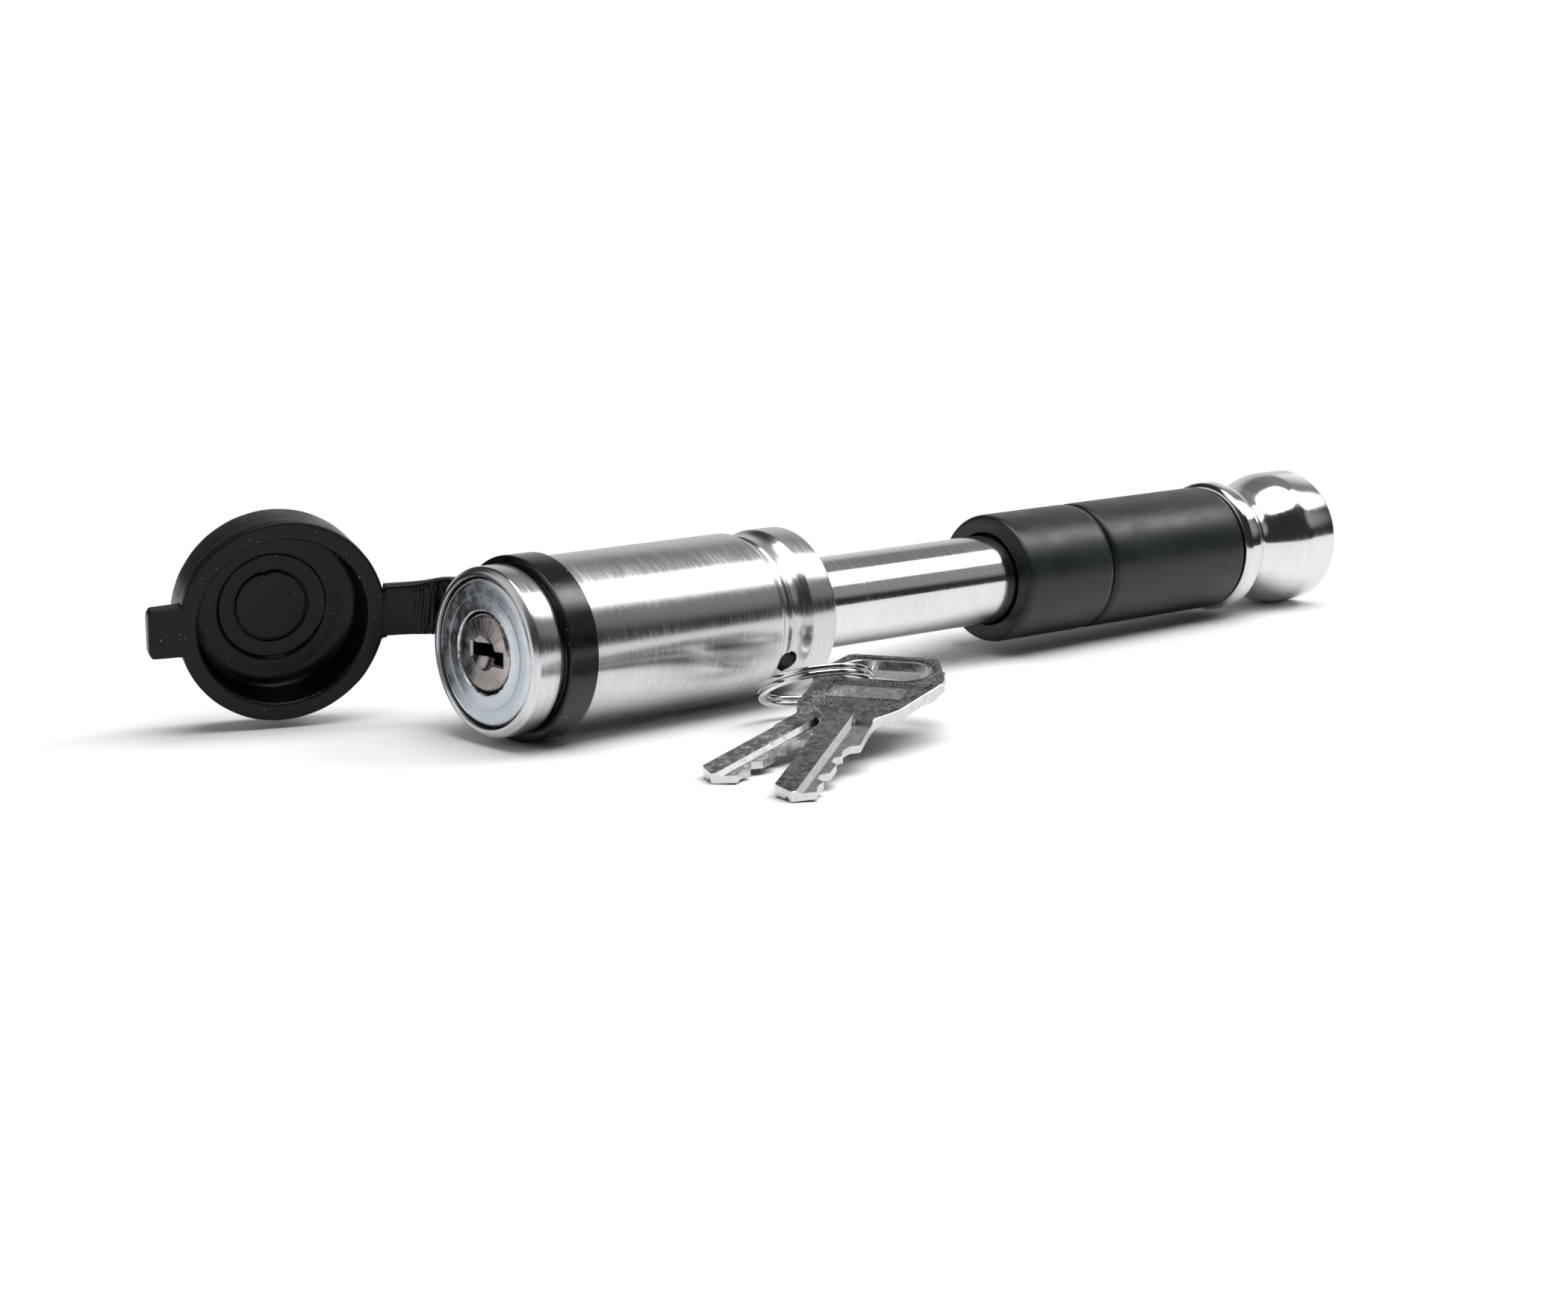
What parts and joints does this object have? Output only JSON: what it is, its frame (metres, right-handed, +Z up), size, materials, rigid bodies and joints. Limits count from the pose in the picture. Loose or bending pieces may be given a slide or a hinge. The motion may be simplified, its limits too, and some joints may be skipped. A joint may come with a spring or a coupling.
{
  "type": "hitch pin lock",
  "caption": "Keyed receiver hitch pin lock: stainless head, straight pin with a waisted knob, black spacer sleeves, a rubber dust cap on a strap and keys on a split ring.",
  "frame": {"origin": "on the table, under the middle of everything: the lock, its open cap and its keys", "axes": "+X along the pin from the lock face to the knob, in plan; +Z up; the dust cap lies on the +Y side and the keys on the -Y side. The pin's own axis drops 0.78 degrees towards the knob, because the pin rests on the rubber ring and the knob"},
  "size_m": [0.2358, 0.1082, 0.0362],
  "materials": {
    "brushed_stainless": "finely turned and brushed stainless steel",
    "polished_steel": "ground and polished stainless steel",
    "zinc": "satin zinc-plated casting",
    "nickel_plug": "nickel-plated brass, satin",
    "nickel_key": "worn nickel-plated brass with a knurled bow",
    "brass": "stamped brass",
    "spring_steel": "drawn spring steel",
    "rubber": "matt black moulded rubber",
    "black_nylon": "satin black moulded sleeve"
  },
  "bodies": {
    "head": {"barrel": "brushed_stainless", "lock_core": "zinc", "core_retaining_pin": "spring_steel", "ball_cage": "brushed_stainless", "pin_seal": "rubber", "cap_ring": "rubber", "cap_strap": "rubber"},
    "plug": {"key_plug": "nickel_plug", "wafer_1": "brass", "wafer_2": "brass", "wafer_3": "brass", "wafer_4": "brass", "wafer_5": "brass", "wafer_spring_1": "spring_steel", "wafer_spring_2": "spring_steel", "wafer_spring_3": "spring_steel", "wafer_spring_4": "spring_steel", "wafer_spring_5": "spring_steel", "plug_clip": "spring_steel", "cam_ring": "zinc"},
    "ball_1": {"locking_ball_1": "polished_steel"},
    "ball_2": {"locking_ball_2": "polished_steel"},
    "cap": {"dust_cap": "rubber", "cap_disc": "rubber"},
    "pin": {"hitch_pin": "polished_steel"},
    "long_sleeve": {"sleeve_long": "black_nylon"},
    "short_sleeve": {"sleeve_short": "black_nylon"},
    "key_set": {"split_ring": "polished_steel"},
    "key_left": {"key_1": "nickel_key"},
    "key_right": {"key_2": "nickel_key"}
  },
  "joints": [
    {"name": "plug_turn", "type": "hinge", "parent": "head", "child": "plug", "pos_m": [-0.07956, 0.00879, 0.01532], "axis": [0.9999, 0, -0.0136], "range_deg": [0, 90]},
    {"name": "ball_1_slide", "type": "slide", "parent": "head", "child": "ball_1", "axis": [0, -1, 0], "range_m": [0, 0.0016]},
    {"name": "ball_2_slide", "type": "slide", "parent": "head", "child": "ball_2", "axis": [0, 1, 0], "range_m": [0, 0.0016]},
    {"name": "cap_swing", "type": "hinge", "parent": "head", "child": "cap", "pos_m": [-0.07501, 0.03167, 0.01913], "axis": [-0.0316, -0.1215, 0.9921], "range_deg": [0, 110.05], "deforming": ["cap_strap"]},
    {"name": "pin_slide", "type": "slide", "parent": "head", "child": "pin", "axis": [0.9999, 0, -0.0136], "range_m": [0, 0.04]},
    {"name": "long_sleeve_slide", "type": "slide", "parent": "pin", "child": "long_sleeve", "axis": [0.9999, 0, -0.0136], "range_m": [-0.0244, 0]},
    {"name": "short_sleeve_slide", "type": "slide", "parent": "long_sleeve", "child": "short_sleeve", "axis": [0.9999, 0, -0.0136], "range_m": [-0.0244, 0]},
    {"name": "key_set_lift", "type": "slide", "parent": "head", "child": "key_set", "axis": [0, 0, 1], "range_m": [0, 0.06]},
    {"name": "key_1_swing", "type": "hinge", "parent": "key_set", "child": "key_left", "pos_m": [-0.02277, -0.01911, 0.00691], "axis": [0, 0, 1], "range_deg": [-14, 2]},
    {"name": "key_2_swing", "type": "hinge", "parent": "key_set", "child": "key_right", "pos_m": [-0.02699, -0.02326, 0.00966], "axis": [0, 0, 1], "range_deg": [-2, 6]}
  ],
  "couplings": [
    {"joint": "ball_1_slide", "follows": "plug_turn", "m_per_rad": 0.0010186},
    {"joint": "ball_2_slide", "follows": "plug_turn", "m_per_rad": 0.0010186}
  ]
}
